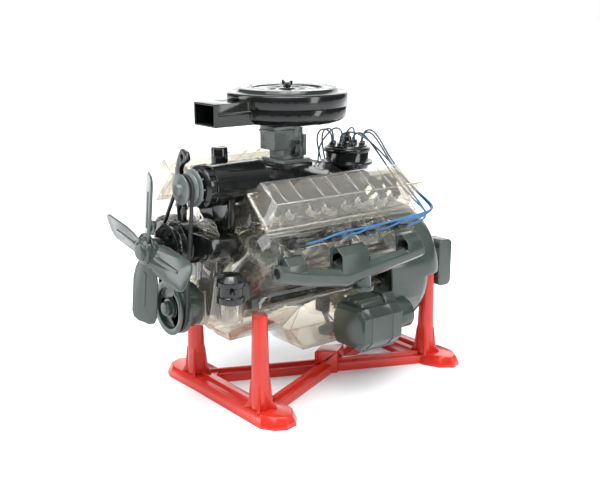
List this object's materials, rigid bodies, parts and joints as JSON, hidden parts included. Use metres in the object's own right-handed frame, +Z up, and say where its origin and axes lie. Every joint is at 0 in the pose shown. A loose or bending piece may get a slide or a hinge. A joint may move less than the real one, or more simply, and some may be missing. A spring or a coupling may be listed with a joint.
{
  "type": "transparent v8 display engine on a stand",
  "caption": "Clear plastic V8 demonstration engine with visible crank train, belt-driven fan, carburettor with round air cleaner and a red cross-braced stand.",
  "frame": {"origin": "centre of the object's box without the leads, at the level of the stand's underside", "axes": "+Z up; +Y along the crankshaft from the fan to the gear case; +X to the engine's left bank, where the starter is"},
  "size_m": [0.1642, 0.242, 0.2138],
  "materials": {
    "clear_plastic": "clear polystyrene, polished, faintly smoky",
    "black_plastic": "gloss black moulding",
    "grey_plastic": "dark grey-green moulding, semi-gloss",
    "light_grey_plastic": "light grey moulding, semi-gloss",
    "works_plastic": "dark grey-green moulding, satin",
    "piston_plastic": "grey moulding, satin",
    "spring_steel": "bright wire",
    "motor_steel": "plated can",
    "belt_rubber": "matt black rubber",
    "plug_rubber": "black moulded boot",
    "blue_vinyl": "thin blue vinyl sleeve",
    "filter_paper": "pleated paper",
    "red_plastic": "gloss red moulding"
  },
  "bodies": {
    "engine": {"air_cleaner_base": "black_plastic", "air_cleaner_lid": "black_plastic", "air_filter": "filter_paper", "bellhousing": "grey_plastic", "carburetor": "light_grey_plastic", "cylinder_head_left": "clear_plastic", "cylinder_head_right": "clear_plastic", "distributor_body": "black_plastic", "distributor_cap": "black_plastic", "drive_belt": "belt_rubber", "drive_motor": "motor_steel", "engine_block": "clear_plastic", "exhaust_manifold_left": "grey_plastic", "exhaust_manifold_right": "grey_plastic", "fuel_bowl": "clear_plastic", "fuel_pump": "black_plastic", "gear_case": "grey_plastic", "generator": "black_plastic", "generator_brackets": "black_plastic", "ignition_wires_left": "blue_vinyl", "ignition_wires_right": "blue_vinyl", "intake_manifold": "black_plastic", "main_bearing_caps": "works_plastic", "oil_filler": "black_plastic", "oil_pan": "clear_plastic", "oil_pickup": "works_plastic", "pushrods_and_lifters": "works_plastic", "rocker_arms": "works_plastic", "spark_plugs": "plug_rubber", "stand_brace": "red_plastic", "stand_front_bar": "red_plastic", "stand_posts": "red_plastic", "stand_rear_bar": "red_plastic", "starter_housing": "grey_plastic", "thermostat_neck": "black_plastic", "timing_cover": "clear_plastic", "valve_cover_left": "clear_plastic", "valve_cover_right": "clear_plastic", "valve_springs": "spring_steel", "valves": "works_plastic", "water_pump": "black_plastic"},
    "fan": {"fan": "grey_plastic", "fan_pulley": "black_plastic"},
    "crank_pulley": {"crank_pulley": "grey_plastic"},
    "generator_rotor": {"generator_pulley": "light_grey_plastic"},
    "crank": {"crankshaft": "works_plastic", "crank_gear": "works_plastic", "flywheel": "works_plastic"},
    "cam": {"camshaft": "works_plastic", "cam_gear": "works_plastic"},
    "distributor_rotor": {"distributor_rotor": "works_plastic"},
    "pinion": {"drive_pinion": "works_plastic"},
    "rods_outer": {"connecting_rods_outer": "works_plastic"},
    "rods_inner": {"connecting_rods_inner": "works_plastic"},
    "pistons_left_outer": {"pistons_left_outer": "piston_plastic"},
    "pistons_left_inner": {"pistons_left_inner": "piston_plastic"},
    "pistons_right_outer": {"pistons_right_outer": "piston_plastic"},
    "pistons_right_inner": {"pistons_right_inner": "piston_plastic"},
    "throttle": {"throttle_shaft": "grey_plastic"},
    "wing_nut": {"wing_nut": "black_plastic"}
  },
  "joints": [
    {"name": "fan_turn", "type": "hinge", "parent": "engine", "child": "fan", "pos_m": [0, -0.1145, 0.1148], "axis": [0, 1, 0], "continuous": true},
    {"name": "crank_pulley_turn", "type": "hinge", "parent": "engine", "child": "crank_pulley", "pos_m": [0, -0.0975, 0.0745], "axis": [0, 1, 0], "continuous": true},
    {"name": "generator_turn", "type": "hinge", "parent": "engine", "child": "generator_rotor", "pos_m": [0.02, -0.0975, 0.1545], "axis": [0, 1, 0], "continuous": true},
    {"name": "crank_turn", "type": "hinge", "parent": "engine", "child": "crank", "pos_m": [0, -0.0105, 0.0745], "axis": [0, 1, 0], "range_deg": [-20, 20]},
    {"name": "cam_turn", "type": "hinge", "parent": "engine", "child": "cam", "pos_m": [0, -0.0105, 0.10285], "axis": [0, 1, 0], "range_deg": [-10.1, 10.1]},
    {"name": "distributor_turn", "type": "hinge", "parent": "engine", "child": "distributor_rotor", "pos_m": [0, 0.0475, 0.15], "axis": [0, 0, 1], "range_deg": [-10.1, 10.1]},
    {"name": "pinion_turn", "type": "hinge", "parent": "engine", "child": "pinion", "pos_m": [0.045, 0.0495, 0.0505], "axis": [0, 1, 0], "range_deg": [-126.5, 126.5]},
    {"name": "rods_outer_turn", "type": "hinge", "parent": "crank", "child": "rods_outer", "pos_m": [0, -0.0105, 0.0845], "axis": [0, 1, 0], "range_deg": [-24.5, 24.5]},
    {"name": "rods_inner_turn", "type": "hinge", "parent": "crank", "child": "rods_inner", "pos_m": [0, -0.0105, 0.0645], "axis": [0, 1, 0], "range_deg": [-17, 17]},
    {"name": "pistons_left_outer_slide", "type": "slide", "parent": "engine", "child": "pistons_left_outer", "axis": [0.7071, 0, 0.7071], "range_m": [-0.003, 0.003]},
    {"name": "pistons_right_outer_slide", "type": "slide", "parent": "engine", "child": "pistons_right_outer", "axis": [-0.7071, 0, 0.7071], "range_m": [-0.003, 0.003]},
    {"name": "pistons_left_inner_slide", "type": "slide", "parent": "engine", "child": "pistons_left_inner", "axis": [0.7071, 0, 0.7071], "range_m": [-0.003, 0.003]},
    {"name": "pistons_right_inner_slide", "type": "slide", "parent": "engine", "child": "pistons_right_inner", "axis": [-0.7071, 0, 0.7071], "range_m": [-0.003, 0.003]},
    {"name": "throttle_turn", "type": "hinge", "parent": "engine", "child": "throttle", "pos_m": [0, -0.0055, 0.1665], "axis": [1, 0, 0], "range_deg": [0, 75]},
    {"name": "wing_nut_turn", "type": "hinge", "parent": "engine", "child": "wing_nut", "pos_m": [0, -0.0055, 0.21], "axis": [0, 0, 1], "continuous": true}
  ],
  "couplings": [
    {"joint": "crank_pulley_turn", "follows": "fan_turn", "ratio": 0.85227},
    {"joint": "generator_turn", "follows": "fan_turn", "ratio": 1.5789},
    {"joint": "cam_turn", "follows": "crank_turn", "ratio": -0.5},
    {"joint": "distributor_turn", "follows": "crank_turn", "ratio": 0.5},
    {"joint": "pinion_turn", "follows": "crank_turn", "ratio": -6.2857},
    {"joint": "rods_outer_turn", "follows": "crank_turn", "ratio": -1.1844},
    {"joint": "rods_inner_turn", "follows": "crank_turn", "ratio": -0.81342},
    {"joint": "pistons_left_outer_slide", "follows": "crank_turn", "m_per_rad": 0.0081931},
    {"joint": "pistons_right_outer_slide", "follows": "crank_turn", "m_per_rad": -0.0081931},
    {"joint": "pistons_left_inner_slide", "follows": "crank_turn", "m_per_rad": -0.0056491},
    {"joint": "pistons_right_inner_slide", "follows": "crank_turn", "m_per_rad": 0.0056491}
  ]
}
